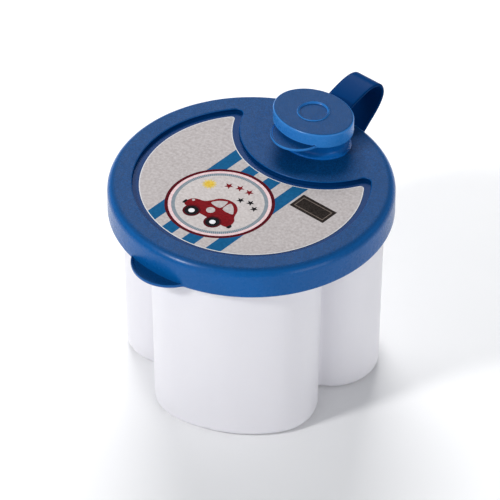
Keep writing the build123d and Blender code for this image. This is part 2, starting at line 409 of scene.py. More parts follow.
def nearest(points, others):
    """Distance from each point to the nearest of the others."""
    found = np.full(len(points), 1e9)
    for k in range(0, len(others), 200):
        gaps = points[:, None, :] - others[None, k:k + 200, :]
        found = np.minimum(found, np.sqrt((gaps**2).sum(2)).min(1))
    return found


def smoothstep(t):
    t = np.clip(t, 0, 1)
    return t * t * (3 - 2 * t)


def ear_reach(outline, ear, soft=1.2):
    """How far a round tab stands out past each point of an outline, along its normal."""
    from_centre = outline.points - np.array(ear["centre"])
    along = (from_centre * outline.normals).sum(1)
    inner = along**2 - (from_centre**2).sum(1) + ear["radius"]**2
    reach = np.where(inner > 0, -along + np.sqrt(np.maximum(inner, 0)), -9.0)
    reach = np.where(from_centre[:, 1] < ear["radius"], reach, -9.0)
    mix = np.clip(0.5 + 0.5 * reach / soft, 0, 1)
    return mix * reach + soft * mix * (1 - mix) * 0.6


def ear_rings(shell, outline, reach, ear, base_z):
    """Rings up the outside of a wall that carries a thin dished tab at its lower edge."""
    lip, top = ear["lip"], base_z + ear["thick"]
    dish = ear["dish"] * smoothstep((reach - lip) / 1.2)
    lip_in = np.maximum(reach - lip, 0.5)
    cut = CORNER_CUT * BREAK
    last = top + 0.5
    tab = [
        (reach, base_z + BREAK), (reach, top - BREAK), (reach - cut, top - cut), (reach - BREAK, top),
        (lip_in + 0.12, top), (lip_in, top - 0.3 * dish), (lip_in - 0.5 * dish, top - dish),
        (0.38, top - dish), (0.11, top - dish + 0.1), (0.0, top - dish + 0.36), (0.0, last)]
    share = smoothstep(reach / 0.8)
    found = []
    for k, (out, z) in enumerate(tab):
        plain_z = base_z + BREAK + (last - base_z - BREAK) * k / (len(tab) - 1)
        out = share * np.maximum(out, 0)
        height = plain_z + share * (z - plain_z)
        flat = outline.points + out[:, None] * outline.normals
        found.append(shell.ring([(x, y, h) for (x, y), h in zip(flat, height)]))
    return found


def ear_base(shell, outline, reach, base_z):
    """Rings along the lower edge of that wall and its tab, up to where ear_rings starts."""
    out = np.maximum(reach, 0)
    cut = CORNER_CUT * BREAK
    found = []
    for inset, rise in ((BREAK, 0.0), (cut, cut)):
        flat = outline.points + (out - inset)[:, None] * outline.normals
        found.append(shell.ring([(x, y, base_z + rise) for x, y in flat]))
    return found


# ---------------------------------------------------------------- materials
def material(name, **settings):
    made = bpy.data.materials.new(name)
    made.use_nodes = True
    shader = made.node_tree.nodes["Principled BSDF"]
    for socket, value in settings.items():
        shader.inputs[socket.replace("_", " ")].default_value = value
    return made


def add(mat, kind, values=(), **properties):
    node = mat.node_tree.nodes.new(kind)
    for key, value in properties.items():
        setattr(node, key, value)
    for socket, value in dict(values).items():
        node.inputs[socket].default_value = value
    return node


def link(mat, source, target):
    mat.node_tree.links.new(source, target)


def noise(mat, scale, detail=3.0, roughness=0.5, stretch=None):
    """Noise in the piece's own space. scale is in features per metre."""
    place = add(mat, "ShaderNodeTexCoord")
    source = place.outputs["Object"]
    if stretch:
        squeeze = add(mat, "ShaderNodeMapping", {"Scale": stretch})
        link(mat, source, squeeze.inputs["Vector"])
        source = squeeze.outputs["Vector"]
    node = add(mat, "ShaderNodeTexNoise", {"Scale": scale, "Detail": detail, "Roughness": roughness})
    link(mat, source, node.inputs["Vector"])
    return node.outputs["Fac"]


def ramp(mat, source, stops):
    """Colour from a factor, through stops of (place, colour)."""
    node = add(mat, "ShaderNodeValToRGB")
    elements = node.color_ramp.elements
    while len(elements) < len(stops):
        elements.new(0.5)
    for element, (place, colour) in zip(elements, stops):
        element.position = place
        element.color = (*colour, 1) if len(colour) == 3 else (colour[0],) * 3 + (1,)
    link(mat, source, node.inputs["Fac"])
    return node.outputs["Color"]


def span(mat, source, low, high, to_low, to_high):
    """Maps a range of a value onto another one."""
    node = add(mat, "ShaderNodeMapRange", {
        "From Min": low, "From Max": high, "To Min": to_low, "To Max": to_high})
    link(mat, source, node.inputs["Value"])
    return node.outputs["Result"]


def mix_colour(mat, factor, a, b):
    node = add(mat, "ShaderNodeMix", data_type="RGBA")
    link(mat, factor, node.inputs["Factor"])
    for socket, value in ((node.inputs[6], a), (node.inputs[7], b)):
        if isinstance(value, tuple):
            socket.default_value = (*value, 1)
        else:
            link(mat, value, socket)
    return node.outputs[2]


def times(mat, a, b):
    node = add(mat, "ShaderNodeMath", operation="MULTIPLY")
    link(mat, a, node.inputs[0])
    link(mat, b, node.inputs[1])
    return node.outputs[0]


def wire(mat, socket, source):
    link(mat, source, mat.node_tree.nodes["Principled BSDF"].inputs[socket])


def bump(mat, height, distance, strength=1.0, after=None):
    node = add(mat, "ShaderNodeBump", {"Strength": strength, "Distance": distance})
    link(mat, height, node.inputs["Height"])
    if after:
        link(mat, after, node.inputs["Normal"])
    return node.outputs["Normal"]


BLUE_SIDE = (0.001, 0.094, 0.325)
BLUE_TOP = (0.001, 0.048, 0.166)
# painted light: the cap's band gets a brighter copy of the lid's blue, so it reads as more strongly lit
# than the skirt
BLUE_CAP_LIT = (0.035, 0.240, 0.670)
# painted light: the spout's outside gets a brighter copy of the blue, standing in for the light that
# falls on its flared foot
BLUE_NECK_LIT = (0.004, 0.135, 0.470)
# painted shade: the strap gets a darker copy of the blue, standing in for the shadow on its inner side
BLUE_STRAP_SHADED = (0.0, 0.032, 0.132)
# painted shade: the label recess gets a darker copy of the blue, standing in for the shadow the recess
# wall casts into it
BLUE_RECESS_SHADED = (0.0, 0.032, 0.135)
GRAIN_GLOSS = 0.075              # specular level of the grained tops
INK_GLOSS = 0.012                # and of the printed film


def blue_plastic(name, grained, base=BLUE_SIDE, gloss=0.22):
    """Moulded blue polypropylene: smooth satin sides, and a fine spark-eroded grain on what faces up."""
    mat = material(name, Specular_IOR_Level=GRAIN_GLOSS if grained else gloss, IOR=1.49)
    drift = noise(mat, 60, 2.0)
    side = ramp(mat, drift, [(0.3, tuple(0.93 * c for c in base)), (0.7, tuple(1.06 * c for c in base))])
    haze = noise(mat, 420, 3.0)
    soft = bump(mat, haze, 0.00002)
    fine_rough = span(mat, haze, 0.3, 0.7, 0.24, 0.31)
    if not grained:
        wire(mat, "Base Color", side)
        wire(mat, "Roughness", fine_rough)
        wire(mat, "Normal", soft)
        return mat
    facing = add(mat, "ShaderNodeSeparateXYZ")
    link(mat, add(mat, "ShaderNodeTexCoord").outputs["Normal"], facing.inputs[0])
    up = span(mat, facing.outputs["Z"], 0.72, 0.97, 0.0, 1.0)
    speck = noise(mat, 2300, 2.0, 0.6)
    dim, bright = (tuple(share * c for c in BLUE_TOP) for share in (0.70, 1.45))
    top = ramp(mat, speck, [(0.33, dim), (0.5, BLUE_TOP), (0.68, bright)])
    wire(mat, "Base Color", mix_colour(mat, up, side, top))
    grain_rough = span(mat, up, 0.0, 1.0, 0.0, 0.24)
    total = add(mat, "ShaderNodeMath", operation="ADD")
    link(mat, fine_rough, total.inputs[0])
    link(mat, grain_rough, total.inputs[1])
    wire(mat, "Roughness", total.outputs[0])
    wire(mat, "Specular IOR Level", span(mat, up, 0.0, 1.0, gloss, GRAIN_GLOSS))
    wire(mat, "Normal", bump(mat, times(mat, speck, up), 0.00011, after=soft))
    return mat


def milky_plastic():
    """Natural polypropylene: nearly opaque milk white, satin, with faint upright flow lines."""
    mat = material("milky_pp", Subsurface_Weight=0.6, Subsurface_Radius=(0.95, 0.97, 1.0),
                   Subsurface_Scale=0.0015, IOR=1.49, Specular_IOR_Level=0.42)
    cloud = noise(mat, 45, 3.0, stretch=(1, 1, 0.35))
    wire(mat, "Base Color", ramp(mat, cloud, [(0.3, (0.775, 0.765, 0.805)), (0.7, (0.80, 0.79, 0.83))]))
    flow = noise(mat, 260, 3.0, stretch=(1, 1, 0.06))
    wire(mat, "Roughness", span(mat, flow, 0.3, 0.7, 0.30, 0.40))
    wire(mat, "Normal", bump(mat, flow, 0.00004))
    return mat


def seal_rubber():
    mat = material("seal_silicone", Subsurface_Weight=0.3, Subsurface_Radius=(1.0, 1.0, 1.0),
                   Subsurface_Scale=0.0015)
    dust = noise(mat, 900, 3.0)
    wire(mat, "Base Color", ramp(mat, dust, [(0.3, (0.66, 0.67, 0.68)), (0.7, (0.76, 0.77, 0.78))]))
    wire(mat, "Roughness", span(mat, dust, 0.3, 0.7, 0.5, 0.62))
    wire(mat, "Normal", bump(mat, dust, 0.00002))
    return mat


def print_ink(name, dark, light, scale=900, spread=0.15):
    """Printed film in one ink: fine mottling under a satin varnish. A wider spread is softer."""
    mat = material(name, IOR=1.5, Specular_IOR_Level=INK_GLOSS)
    mottle = noise(mat, scale, 4.0, 0.6)
    wire(mat, "Base Color", ramp(mat, mottle, [(0.5 - spread, dark), (0.5 + spread, light)]))
    wire(mat, "Roughness", span(mat, noise(mat, 500), 0.3, 0.7, 0.5, 0.6))
    wire(mat, "Normal", bump(mat, mottle, 0.000015))
    return mat


def stitched_ink(name, centre, count):
    """Ring printed as short radial stitches round a centre, in metres."""
    mat = print_ink(name, (0.10, 0.14, 0.18), (0.14, 0.19, 0.24))
    shader = mat.node_tree.nodes["Principled BSDF"]
    plain = shader.inputs["Base Color"].links[0].from_socket
    place = add(mat, "ShaderNodeTexCoord")
    moved = add(mat, "ShaderNodeVectorMath", operation="SUBTRACT")
    moved.inputs[1].default_value = (centre[0], centre[1], 0)
    link(mat, place.outputs["Object"], moved.inputs[0])
    parts = add(mat, "ShaderNodeSeparateXYZ")
    link(mat, moved.outputs[0], parts.inputs[0])
    angle = add(mat, "ShaderNodeMath", operation="ARCTAN2")
    link(mat, parts.outputs["Y"], angle.inputs[0])
    link(mat, parts.outputs["X"], angle.inputs[1])
    turns = add(mat, "ShaderNodeMath", {1: float(count)}, operation="MULTIPLY")
    link(mat, angle.outputs[0], turns.inputs[0])
    wave = add(mat, "ShaderNodeMath", operation="SINE")
    link(mat, turns.outputs[0], wave.inputs[0])
    stitch = span(mat, wave.outputs[0], -0.5, 0.5, 0.0, 1.0)
    wire(mat, "Base Color", mix_colour(mat, stitch, plain, (0.28, 0.31, 0.33)))
    return mat


# ---------------------------------------------------------------- cup
def build_cup():
    shell = Shell()
    outline = cup_outline()
    wall = [(draft_at(z), z) for z in np.linspace(BASE_EDGE_R + 1.5, RIM_BOTTOM_Z, 14)]
    profile = [(-BASE_EDGE_R - FLAT_RING, 0.0)]
    profile += rounding(-BASE_EDGE_R + draft_at(BASE_EDGE_R), BASE_EDGE_R, BASE_EDGE_R, -90, 0, 12)
    profile += wall
    rings = shell.rings(outline, profile)
    shell.sweep(rings)
    shell.fill([rings[0]], up=False, spacing=5.0)
    # the rim's lower face runs from the lobes, or from the pockets between them, out to the rim
    lobes = rings[-1]
    radii = [sqrt(shell.verts[i][0]**2 + shell.verts[i][1]**2) for i in lobes]
    n = len(lobes)
    outer_side = [r > RIM_INNER_R - 1e-3 for r in radii]
    inner_loop, pockets = [], []
    first = next(k for k in range(n) if outer_side[k] and not outer_side[k - 1])
    k = 0
    while k < n:
        here = (first + k) % n
        inner_loop.append(lobes[here])
        if not outer_side[(here + 1) % n]:
            notch = []
            step = 1
            while not outer_side[(here + step) % n]:
                notch.append(lobes[(here + step) % n])
                step += 1
            across = lobes[(here + step) % n]
            a0 = atan2(shell.verts[lobes[here]][1], shell.verts[lobes[here]][0])
            a1 = atan2(shell.verts[across][1], shell.verts[across][0])
            a1 += 2 * pi if a1 < a0 else 0
            arc = shell.ring([(RIM_INNER_R * cos(a), RIM_INNER_R * sin(a), RIM_BOTTOM_Z)
                              for a in np.linspace(a0, a1, 22)[1:-1]])
            inner_loop += arc
            pockets.append([lobes[here]] + arc + [across] + notch[::-1])
            k += step
        else:
            k += 1
    for pocket in pockets:
        ceiling = shell.ring([(shell.verts[i][0], shell.verts[i][1], DECK_UNDER_Z) for i in pocket])
        shell.sweep([ceiling, pocket])
        shell.fill([ceiling], up=False, spacing=4.0)
    angles = np.arange(0, 360, 1.25)
    bead = RIM_BEAD_R - DECK_R
    clear = RIM_BEAD_HALF + 0.15
    rim_profile = rounding(-0.3, RIM_BOTTOM_Z + 0.3, 0.3, -90, 0, 3)
    rim_profile += [(0, RIM_BEAD_Z - clear)]
    rim_profile += [(bead * cos(a)**2, RIM_BEAD_Z + RIM_BEAD_HALF * sin(a))
                    for a in np.linspace(-pi / 2, pi / 2, 9)]
    rim_profile += [(0, RIM_BEAD_Z + clear)]
    rim_profile += rounding(-0.4, CUP_H - 0.4, 0.4, 0, 90, 5)
    rim_profile += [(-0.4 - FLAT_RING, CUP_H)]
    rim = shell.rings(circle(DECK_R, angles), rim_profile)
    shell.sweep(rim)
    shell.fill([rim[0], inner_loop], up=False, spacing=None)
    # the compartments
    mouths = []
    lean = sin(CAVITY_DRAFT) / cos(CAVITY_DRAFT)
    for lobe in LOBE_ANGLES:
        space = compartment_outline(lobe)
        mouth = (CUP_H - FLOOR_Z) * lean + MOUTH_EDGE_R
        profile = [(mouth + FLAT_RING, CUP_H)]
        profile += rounding(mouth, CUP_H - MOUTH_EDGE_R, MOUTH_EDGE_R, 90, 180, 3)
        heights = np.linspace(CUP_H - 2, FLOOR_Z + FLOOR_EDGE_R + 1, 10)
        profile += [((z - FLOOR_Z) * lean, z) for z in heights]
        profile += rounding(-FLOOR_EDGE_R, FLOOR_Z + FLOOR_EDGE_R, FLOOR_EDGE_R, 0, -90, 7)
        profile += [(-FLOOR_EDGE_R - FLAT_RING, FLOOR_Z)]
        rings = shell.rings(space, profile)
        shell.sweep(rings)
        shell.fill([rings[-1]], spacing=4.0)
        mouths.append(rings[0])
    shell.fill([rim[-1], *mouths], spacing=4.0)
    return shell.piece("cup", [milky_plastic()])


# ---------------------------------------------------------------- seal
def build_seal():
    """Soft ring with two rounded sealing ridges."""
    shell = Shell()
    middle = (SEAL_HIGH.x + SEAL_INNER_R) / 2
    half = (SEAL_HIGH.x - SEAL_INNER_R) / 2
    low, high = SEAL_LOW.z, SEAL_HIGH.z
    outline = circle(middle, np.arange(0, 360, 1.5))
    edge = 0.3
    profile = rounding(half - edge, low + edge, edge, -90, 0, 4)
    profile += rounding(half - edge, high - edge, edge, 0, 90, 4)
    profile += [(0.35, high - 0.16), (0, high - 0.22), (-0.35, high - 0.16)]
    profile += rounding(edge - half, high - edge, edge, 90, 180, 4)
    profile += rounding(edge - half, low + edge, edge, 180, 270, 4)
    rings = shell.rings(outline, profile)
    shell.sweep(rings + rings[:1])
    return shell.piece("seal_ring", [seal_rubber()])


# ---------------------------------------------------------------- lid
def build_lid(blue, recess_shade_blue, spout_lit_blue):
    shell = Shell()
    skirt = circle(LID_R, stations(1.5, 0.25, -90, 17))
    reach = ear_reach(skirt, TAB)
    groove_in, groove_out, wall, bead = [
        radius - LID_R for radius in (*GROOVE_R, SKIRT_INNER_R, SKIRT_BEAD_R)]
    under = [
        (groove_in - FLAT_RING, PLATE_UNDER_Z), (groove_in - 0.1, PLATE_UNDER_Z),
        (groove_in, PLATE_UNDER_Z + 0.1), (groove_in, GROOVE_TOP_Z), (groove_out, GROOVE_TOP_Z),
        (groove_out, PLATE_UNDER_Z + 0.1), (groove_out + 0.1, PLATE_UNDER_Z)]
    under += rounding(wall - SKIRT_ROOT_R, PLATE_UNDER_Z - SKIRT_ROOT_R, SKIRT_ROOT_R, 90, 0, 4)
    under += [(wall, SKIRT_BEAD_Z + SKIRT_BEAD_HALF + 0.2)]
    under += [(wall - (wall - bead) * cos(a)**2, SKIRT_BEAD_Z - SKIRT_BEAD_HALF * sin(a))
              for a in np.linspace(-pi / 2, pi / 2, 7)]
    under += lower_edge(wall, SKIRT_Z)
    rings = shell.rings(skirt, under)
    rings += ear_base(shell, skirt, reach, SKIRT_Z)
    rings += ear_rings(shell, skirt, reach, TAB, SKIRT_Z)
    upper = [(0, LID_TOP_Z - LID_EDGE_R - 3.4), (0, LID_TOP_Z - LID_EDGE_R - 0.5)]
    upper += rounding(-LID_EDGE_R, LID_TOP_Z - LID_EDGE_R, LID_EDGE_R, 0, 90, 16)
    upper += [(-LID_EDGE_R - FLAT_RING, LID_TOP_Z)]
    rings += shell.rings(skirt, upper)
    shell.sweep(rings)
    # crescent recess
    recess = crescent(RECESS_R, PLATEAU_R, HORN_R)
    brow = [(RECESS_EDGE_R + FLAT_RING, LID_TOP_Z)]
    brow += rounding(RECESS_EDGE_R, LID_TOP_Z - RECESS_EDGE_R, RECESS_EDGE_R, 90, 180, 5)
    side = [(0, RECESS_Z + RECESS_FOOT_R + 0.2)]
    side += rounding(-RECESS_FOOT_R, RECESS_Z + RECESS_FOOT_R, RECESS_FOOT_R, 0, -90, 4)
    side += [(-RECESS_FOOT_R - FLAT_RING, RECESS_Z)]
    walls = shell.rings(recess, brow + side)
    shell.sweep(walls[:len(brow)])
    # slot 1 is the recess's painted-darker blue (painted shade)
    shell.sweep(walls[len(brow) - 1:], slot=1)
    shell.fill([walls[-1]], spacing=4.0, slot=1)
    # spout, with a flared foot that ends in a low step
    neck = oval(SPOUT_Y, NECK, np.arange(0, 360, 2.5))
    step_top = LID_TOP_Z + FOOT_STEP
    flare = FOOT_R + FOOT_STEP
    profile = [(FOOT_R + 0.12 + FLAT_RING, LID_TOP_Z), (FOOT_R + 0.12, LID_TOP_Z)]
    profile += [(FOOT_R + 0.06, LID_TOP_Z + 0.06), (FOOT_R + 0.06, step_top - 0.08), (FOOT_R, step_top)]
    profile += [(FOOT_R - FOOT_R * sin(a), step_top + flare * (1 - cos(a)))
                for a in np.linspace(0.12, pi / 2, 9)]
    rim_low = SPOUT_TOP_Z - SNAP_RIM_H
    profile += [(0, rim_low - 0.35), (0, rim_low), (SNAP_RIM_OUT - 0.15, rim_low + 0.35)]
    profile += rounding(SNAP_RIM_OUT - 0.3, rim_low + 0.8, 0.3, -30, 0, 2)
    profile += rounding(SNAP_RIM_OUT - 0.6, SPOUT_TOP_Z - 0.6, 0.6, 0, 90, 6)
    profile += [(-BORE_INSET + BREAK + 0.1, SPOUT_TOP_Z)]
    profile += [(-BORE_INSET + BREAK - BREAK * sin(a), SPOUT_TOP_Z - BREAK + BREAK * cos(a))
                for a in np.linspace(0.4, pi / 2, 3)]
    profile += [(-BORE_INSET, z) for z in np.linspace(SPOUT_TOP_Z - 1.2, PLATE_UNDER_Z + 0.8, 6)]
    profile += rounding(-BORE_INSET + BORE_EDGE_R, PLATE_UNDER_Z + BORE_EDGE_R, BORE_EDGE_R, 180, 270, 3)
    profile += [(-BORE_INSET + BORE_EDGE_R + FLAT_RING, PLATE_UNDER_Z)]
    spout = shell.rings(neck, profile)
    # slot 2 is the spout's painted-lighter blue (painted light)
    shell.sweep(spout, slot=2)
    shell.fill([rings[-1], walls[0], spout[0]], spacing=3.0)
    shell.fill([rings[0], spout[-1]], up=False, spacing=4.0)
    return shell.piece("lid_shell", [blue, recess_shade_blue, spout_lit_blue])


# ---------------------------------------------------------------- cap
def build_cap(blue):
    shell = Shell()
    band = oval(SPOUT_Y, CAP, stations(2.5, 0.8, -90, 60))
    reach = ear_reach(band, THUMB, 0.9)
    root, tip = (-inset for inset in PLUG_INSET)
    hollow = tip - PLUG_WALL
    tip_z = CAP_UNDER_Z - PLUG_H
    profile = [(hollow - FLAT_RING, CAP_UNDER_Z), (hollow, CAP_UNDER_Z - 0.1), (hollow, tip_z + 0.3),
               (hollow + 0.1, tip_z + 0.08), (hollow + 0.3, tip_z)]
    profile += [(tip - 0.35, tip_z), (tip - 0.1, tip_z + 0.1), (tip, tip_z + 0.35)]
    profile += [(root, CAP_UNDER_Z - 0.4), (root + 0.12, CAP_UNDER_Z - 0.12), (root + 0.4, CAP_UNDER_Z)]
    profile += [(-BAND_T - 0.5, CAP_UNDER_Z), (-BAND_T - 0.14, CAP_UNDER_Z - 0.14)]
    profile += [(-BAND_T, CAP_UNDER_Z - 0.5)] + lower_edge(-BAND_T, BAND_Z)
    rings = shell.rings(band, profile)
    rings += ear_base(shell, band, reach, BAND_Z)
    rings += ear_rings(shell, band, reach, THUMB, BAND_Z)
    upper = [(0, CAP_TOP_Z - CAP_EDGE_R - 0.5)]
    upper += rounding(-CAP_EDGE_R, CAP_TOP_Z - CAP_EDGE_R, CAP_EDGE_R, 0, 90, 8)
    upper += [(-CAP_EDGE_R - FLAT_RING, CAP_TOP_Z)]
    rings += shell.rings(band, upper)
    shell.sweep(rings)
    shell.fill([rings[0]], up=False, spacing=3.0)
    # raised ring with a shallow dish inside it
    ring = circle(0.0, np.arange(0, 360, 4.0), (0.0, SPOUT_Y))
    inner, outer = RING_R
    top = CAP_HIGH.z
    half = (outer - inner) / 2
    profile = [(outer + 0.1 + FLAT_RING, CAP_TOP_Z), (outer + 0.1, CAP_TOP_Z)]
    profile += [(outer + 0.02, CAP_TOP_Z + 0.06)]
    profile += [(inner + half + half * cos(a), top - half + half * sin(a))
                for a in np.linspace(0.1, pi - 0.1, 9)]
    floor_z = CAP_TOP_Z - RING_DISH
    profile += [(inner - 0.02, floor_z + 0.15), (inner - 0.15, floor_z)]
    profile += [(inner - 0.15 - FLAT_RING, floor_z)]
    rises = shell.rings(ring, profile)
    shell.sweep(rises)
    shell.fill([rings[-1], rises[0]], spacing=2.5)
    shell.fill([rises[-1]], spacing=2.0)
    return shell.piece("cap_shell", [blue])


# ---------------------------------------------------------------- strap
def spline(knots, heading_in, heading_out):
    """Clamped cubic spline through points in the YZ plane, as a function of a knot number."""
    knots = np.array(knots, float)
    gaps = np.linalg.norm(np.diff(knots, axis=0), axis=1)
    n = len(knots)
    lhs, rhs = np.zeros((n, n)), np.zeros((n, 2))
    lhs[0, 0] = lhs[-1, -1] = 1
    rhs[0] = (cos(radians(heading_in)), sin(radians(heading_in)))
    rhs[-1] = (cos(radians(heading_out)), sin(radians(heading_out)))
    for k in range(1, n - 1):
        lhs[k, k - 1:k + 2] = gaps[k], 2 * (gaps[k - 1] + gaps[k]), gaps[k - 1]
        rhs[k] = 3 * (gaps[k] / gaps[k - 1] * (knots[k] - knots[k - 1])
                      + gaps[k - 1] / gaps[k] * (knots[k + 1] - knots[k]))
    slopes = np.linalg.solve(lhs, rhs)

    def at(number):
        k = min(int(number), n - 2)
        t, h = number - k, gaps[k]
        a, b, c = 2 * t**3 - 3 * t**2 + 1, t**3 - 2 * t**2 + t, t**3 - t**2
        point = a * knots[k] + b * h * slopes[k] + (1 - a) * knots[k + 1] + c * h * slopes[k + 1]
        da, db, dc = 6 * t**2 - 6 * t, 3 * t**2 - 4 * t + 1, 3 * t**2 - 2 * t
        tangent = da * (knots[k] - knots[k + 1]) / h + db * slopes[k] + dc * slopes[k + 1]
        return point, tangent / np.linalg.norm(tangent)

    return at


def strap_section(thick):
    """Rounded rectangle across the strap: points (x, height), anticlockwise seen along the path."""
    r = STRAP_EDGE_R
    w, h = STRAP_W / 2 - r, thick / 2 - r
    corners = ((w, h, 0), (-w, h, 90), (-w, -h, 180), (w, -h, 270))
    points = []
    for x, y, start in corners:
        turn = [radians(start + 90 * k / 5) for k in range(6)]
        arc = [(x + r * cos(a), y + r * sin(a)) for a in turn]
        if start in (0, 180):
            arc.append((arc[-1][0] - (STRAP_FLAT if start == 0 else -STRAP_FLAT), arc[-1][1]))
        else:
            arc.insert(0, (arc[0][0] + (STRAP_FLAT if start == 90 else -STRAP_FLAT), arc[0][1]))
        points += arc
    return points


def build_strap(blue):
    """The strap in lengths that meet halfway between hinges, each spanning one hinge."""
    hinges = [j for j in frame["joints"] if j["type"] == "hinge" and not j.get("continuous")]
    knots = [STRAP_ROOT] + [(j["pos_m"][1] / MM, j["pos_m"][2] / MM) for j in hinges] + [STRAP_TIP]
    path = spline(knots, STRAP_ROOT_ANGLE, STRAP_TIP_ANGLE)
    last = len(knots) - 1
    for number, joint in enumerate(hinges, start=1):
        start = 0.0 if number == 1 else number - 0.5
        end = float(last) if number == len(hinges) else number + 0.5
        middle = list(np.linspace(start, end, STRAP_RINGS)[1:-1])
        places = [start, start + STRAP_SEAM] + middle + [end - STRAP_SEAM, end]
        shell = Shell()
        rings = []
        for place in places:
            point, tangent = path(place)
            rings.append((place, point, tangent))
        if number == 1:
            point, tangent = path(0.0)
            rings = [(-0.2, point - STRAP_SINK * tangent, tangent)] + rings
        if number == len(hinges):
            point, tangent = path(float(last))
            rings = rings + [(last + 0.2, point + STRAP_SINK * tangent, tangent)]
        loops = []
        for place, point, tangent in rings:
            flare = STRAP_FLARE[0] * (1 - smoothstep(max(place, 0) / STRAP_FLARE_LENGTH))
            flare += STRAP_FLARE[1] * (1 - smoothstep(max(last - place, 0) / STRAP_FLARE_LENGTH))
            thick = STRAP_T + flare
            normal = (-tangent[1], tangent[0])
            loops.append(shell.ring([(x, point[0] + h * normal[0], point[1] + h * normal[1])
                                     for x, h in strap_section(thick)]))
        shell.sweep(loops)
        shell.faces.append(tuple(loops[0][::-1]))
        shell.faces.append(tuple(loops[-1]))
        shell.slots += [0, 0]
        piece = shell.piece(f"strap_{number}", [blue], weighted=False)
        piece.data.polygons.foreach_set("use_smooth", [len(p.vertices) == 4 for p in piece.data.polygons])
        first, final = ((0, y * MM, z * MM) for y, z in (path(start)[0], path(end)[0]))
        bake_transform(piece)
        if number < len(hinges):
            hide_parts(f"strap_link_{number}")


# ---------------------------------------------------------------- label
STRIPE_W = 5.5
STRIPE_GAP = 4.7
STRIPE_LENGTH = 70.0             # past the film's edge at both ends
MEDAL = (-1.0, -16.7)
MEDAL_RADII = {"red_ring": 20.6, "pale_ring": 19.3, "stitch_ring": 18.1, "medal_paper": 16.7}


def disc(centre, radius, steps=96):
    return [polar(radius, 360 * k / steps, centre) for k in range(steps)]


def star(centre, radius, points, inner):
    """Star with one point up. inner is its waist, as a share of its radius."""
    return [polar(radius * (inner if k % 2 else 1), 90 + 180 * k / points, centre)
            for k in range(2 * points)]


def smooth_line(points, steps=6):
    """Closed curve through points (Catmull-Rom)."""
    p = np.array(points, float)
    n = len(p)
    found = []
    for k in range(n):
        a, b, c, d = p[k - 1], p[k], p[(k + 1) % n], p[(k + 2) % n]
        for s in range(steps):
            t = s / steps
            found.append(tuple(0.5 * (2 * b + (c - a) * t + (2 * a - 5 * b + 4 * c - d) * t**2
                                      + (3 * b - a - 3 * c + d) * t**3)))
    return found


def rectangle(centre, width, height):
    x, y, w, h = *centre, width / 2, height / 2
    return [(x - w, y - h), (x + w, y - h), (x + w, y + h), (x - w, y + h)]


def label_art():
    """Shapes printed on the label, the topmost first: (ink, closed line)."""
    art = []
    wheels = ((-6.1, -26.7), (4.3, -26.7))
    for wheel in wheels:
        art += [("hub_ink", disc(wheel, 1.2, 28)), ("black_ink", disc(wheel, 2.7, 40))]
    front_bumper = [(-12.1, -23.2), (-11.2, -23.3), (-11.1, -25.1), (-12.0, -25.3)]
    rear_bumper = [(10.4, -23.8), (11.4, -23.9), (11.5, -25.6), (10.2, -25.7)]
    art += [("black_ink", smooth_line(front_bumper, 4)), ("black_ink", smooth_line(rear_bumper, 4))]
    for wheel in wheels:
        art.append(("maroon_ink", disc(wheel, 3.4, 44)))
    front_window = [(-3.6, -18.6), (-2.6, -16.2), (-0.6, -14.6), (0.9, -14.3), (0.9, -18.6)]
    rear_window = [(2.1, -14.3), (4.2, -15.0), (6.0, -16.8), (6.8, -18.6), (2.1, -18.6)]
    car = [
        (-11.2, -24.2), (-11.0, -21.8), (-9.2, -20.2), (-6.4, -19.4), (-4.7, -17.6), (-2.9, -14.6),
        (0.4, -13.0), (4.0, -13.3), (6.9, -15.6), (8.5, -19.2), (10.2, -21.2), (10.7, -24.2),
        (9.2, -25.9), (0.0, -26.0), (-9.6, -25.9)]
    sun = (-11.6, -10.6)
    art += [
        ("paper_ink", smooth_line(front_window, 4)), ("paper_ink", smooth_line(rear_window, 4)),
        ("paper_ink", disc((-0.9, -21.9), 1.7, 36)), ("paper_ink", disc((-9.7, -21.6), 0.6, 20)),
        ("car_ink", smooth_line(car)), ("sun_core_ink", disc(sun, 1.7, 32)),
        ("sun_ink", star(sun, 3.1, 14, 0.68))]
    for place in ((-5.4, -6.6), (-1.3, -5.0), (3.0, -4.6)):
        art.append(("car_ink", star(place, 1.9, 5, 0.42)))
    for place in ((3.6, -10.2), (7.4, -9.0), (10.8, -10.8)):
        art.append(("black_ink", star(place, 1.7, 5, 0.42)))
    art += [
        ("medal_ink", disc(MEDAL, MEDAL_RADII["medal_paper"])),
        ("stitch_ink", disc(MEDAL, MEDAL_RADII["stitch_ring"])),
        ("rose_ink", disc(MEDAL, MEDAL_RADII["pale_ring"])),
        ("maroon_ink", disc(MEDAL, MEDAL_RADII["red_ring"]))]
    badge = (27.1, 3.9)
    art += [
        ("badge_ink", rectangle(badge, 13.2, 5.1)), ("badge_line_ink", rectangle(badge, 13.9, 5.8)),
        ("badge_ink", rectangle(badge, 16.3, 8.2))]
    pitch = STRIPE_W + STRIPE_GAP
    for k in range(4):
        art.append(("stripe_ink", rectangle(((k - 1.5) * pitch, -14.0), STRIPE_W, STRIPE_LENGTH)))
    return art


